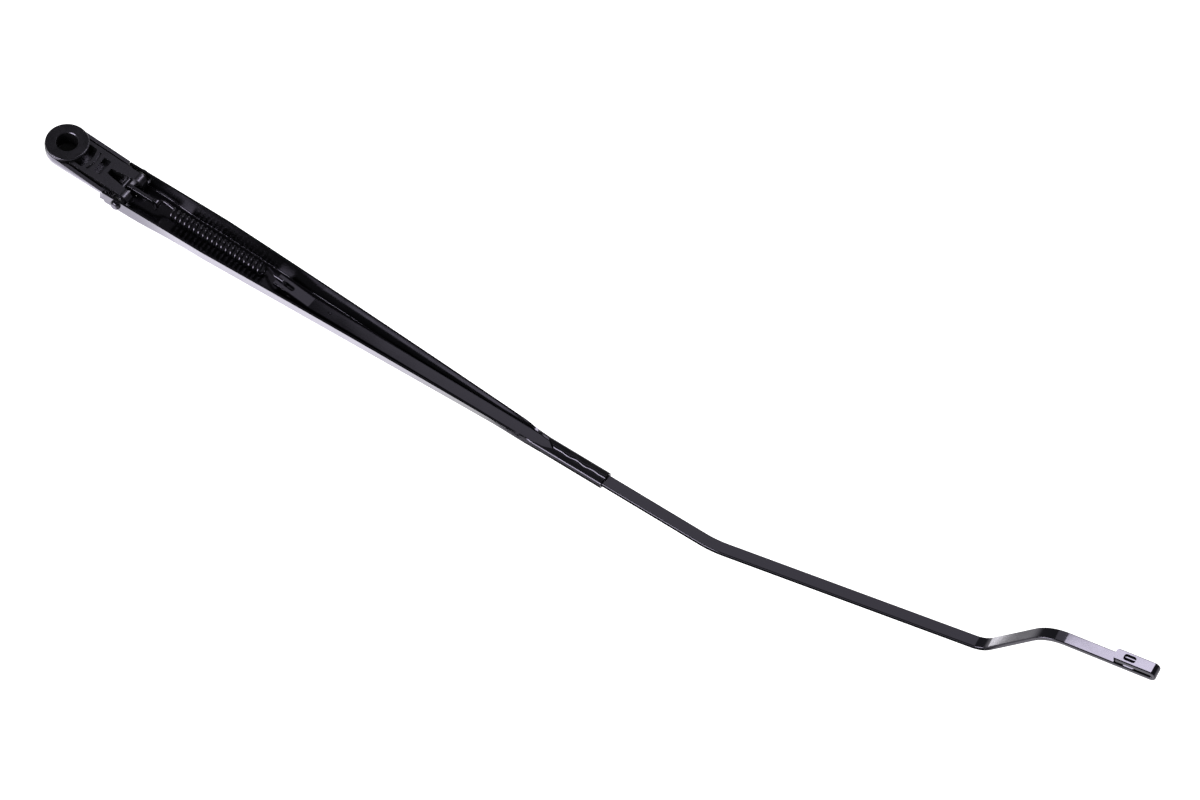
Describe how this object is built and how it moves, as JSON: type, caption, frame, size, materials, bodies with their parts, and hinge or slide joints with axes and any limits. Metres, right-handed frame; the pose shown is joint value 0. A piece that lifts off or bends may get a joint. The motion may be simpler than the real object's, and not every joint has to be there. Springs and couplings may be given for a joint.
{
  "type": "windscreen_wiper_arm",
  "caption": "Windscreen wiper arm: cast head with a spindle bore, hinged sheet channel holding a pull spring, and a flat rod with a side bend, a step and a folded end that takes the blade.",
  "frame": {"origin": "On the axis of the spindle bore, at the face of the boss on the arm's underside.", "axes": "+X along the arm from the spindle to the blade end, +Z out of the underside towards the glass, +Y to the side the rod bends to."},
  "size_m": [0.7057, 0.0727, 0.0464],
  "materials": {
    "cast_black": "satin",
    "black_paint": "gloss",
    "black_steel": "satin",
    "bush_plastic": "matte"
  },
  "bodies": {
    "head": {"mounting_head": "cast_black", "nut_cap": "bush_plastic", "pivot_bush_near": "bush_plastic", "pivot_bush_far": "bush_plastic"},
    "arm": {"arm_channel": "black_paint", "wiper_rod": "black_paint", "pivot_rivet_near": "black_steel", "pivot_rivet_far": "black_steel"},
    "link": {"spring_link": "black_steel", "tension_spring": "black_steel"}
  },
  "joints": [
    {"name": "arm_lift", "type": "hinge", "parent": "head", "child": "arm", "pos_m": [0.0423, 0, -0.0096], "axis": [0, 1, 0], "range_deg": [0, 58]},
    {"name": "link_swing", "type": "hinge", "parent": "head", "child": "link", "pos_m": [0.0398, 0, -0.0064], "axis": [0, 1, 0], "range_deg": [0, 56.1], "deforming": ["tension_spring"]}
  ],
  "couplings": [
    {"joint": "link_swing", "follows": "arm_lift", "ratio": 0.967}
  ]
}
